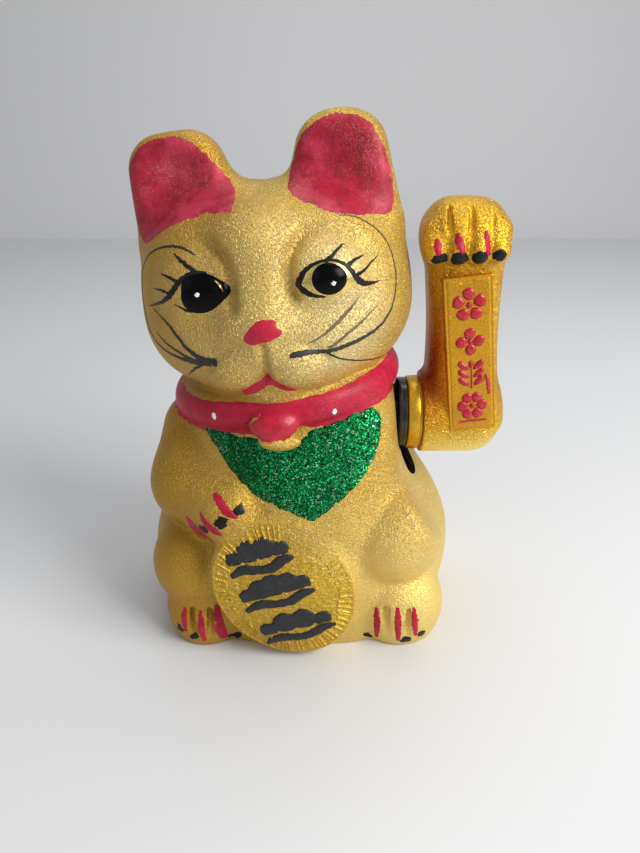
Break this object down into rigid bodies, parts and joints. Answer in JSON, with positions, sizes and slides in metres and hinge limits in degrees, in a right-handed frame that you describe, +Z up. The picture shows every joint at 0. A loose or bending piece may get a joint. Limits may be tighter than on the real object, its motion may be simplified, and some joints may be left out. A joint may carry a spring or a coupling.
{
  "type": "beckoning cat figurine",
  "caption": "Gold beckoning cat figurine with red collar, green bib and belly coin, whose raised arm swings on a battery-driven pendulum inside the hollow body.",
  "frame": {"origin": "middle of the base plate's underside, which is on the table", "axes": "+X to the right as seen by someone facing the cat, -Y towards that viewer (the way the cat faces), +Z up"},
  "size_m": [0.1485, 0.1005, 0.201],
  "materials": {
    "gold_shell": "moulded shell with a fine crinkled gold coat",
    "gold_arm": "moulded arm with a smoother, deeper gold coat",
    "black_plastic": "black or dark grey plastic",
    "black_gloss": "black plastic",
    "white_plastic": "natural white plastic",
    "cell_can": "sleeved metal can of an AA cell",
    "plated_contacts": "nickel plated spring steel",
    "bush_brass": "plain brass",
    "steel": "plain steel",
    "magnet_nickel": "nickel plated magnet",
    "copper_wire": "enamelled copper wire",
    "board_green": "green circuit board",
    "capacitor_sleeve": "dark blue sleeved can",
    "resistor_body": "tan lacquered body",
    "lead_red": "red insulation",
    "lead_black": "black insulation",
    "lead_orange": "orange insulation"
  },
  "bodies": {
    "cat_body": {"front_shell": "gold_shell", "rear_shell": "gold_shell", "base_plate": "black_plastic", "battery_cell": "cell_can", "battery_spring": "plated_contacts", "battery_contact": "plated_contacts", "mechanism_frame": "white_plastic", "bush_inner": "bush_brass", "bush_outer": "bush_brass", "coil_bobbin": "white_plastic", "coil_winding": "copper_wire", "coil_core": "steel", "drive_board": "board_green", "transistor": "black_plastic", "capacitor": "capacitor_sleeve", "resistors": "resistor_body", "board_screws": "steel", "frame_screws": "steel", "base_screws": "steel", "switch_body": "black_plastic", "lead_red": "lead_red", "lead_black": "lead_black", "lead_switch": "lead_orange"},
    "swinging_arm": {"swing_axle": "steel", "axle_clips": "steel", "arm_hub": "black_gloss", "arm_socket_ring": "gold_arm", "arm_front_half": "gold_arm", "arm_rear_half": "gold_arm", "pendulum_lever": "white_plastic", "lever_set_screw": "steel", "counterweight": "steel", "drive_magnet": "magnet_nickel"},
    "cover": {"battery_cover": "black_plastic"},
    "knob": {"switch_knob": "white_plastic"}
  },
  "joints": [
    {"name": "arm_swing", "type": "hinge", "parent": "cat_body", "child": "swinging_arm", "pos_m": [0, 0, 0.086], "axis": [1, 0, 0], "range_deg": [-20, 20]},
    {"name": "cover_slide", "type": "slide", "parent": "cat_body", "child": "cover", "axis": [0, 1, 0], "range_m": [0, 0.04]},
    {"name": "knob_slide", "type": "slide", "parent": "cat_body", "child": "knob", "axis": [0, 1, 0], "range_m": [0, 0.003]}
  ]
}
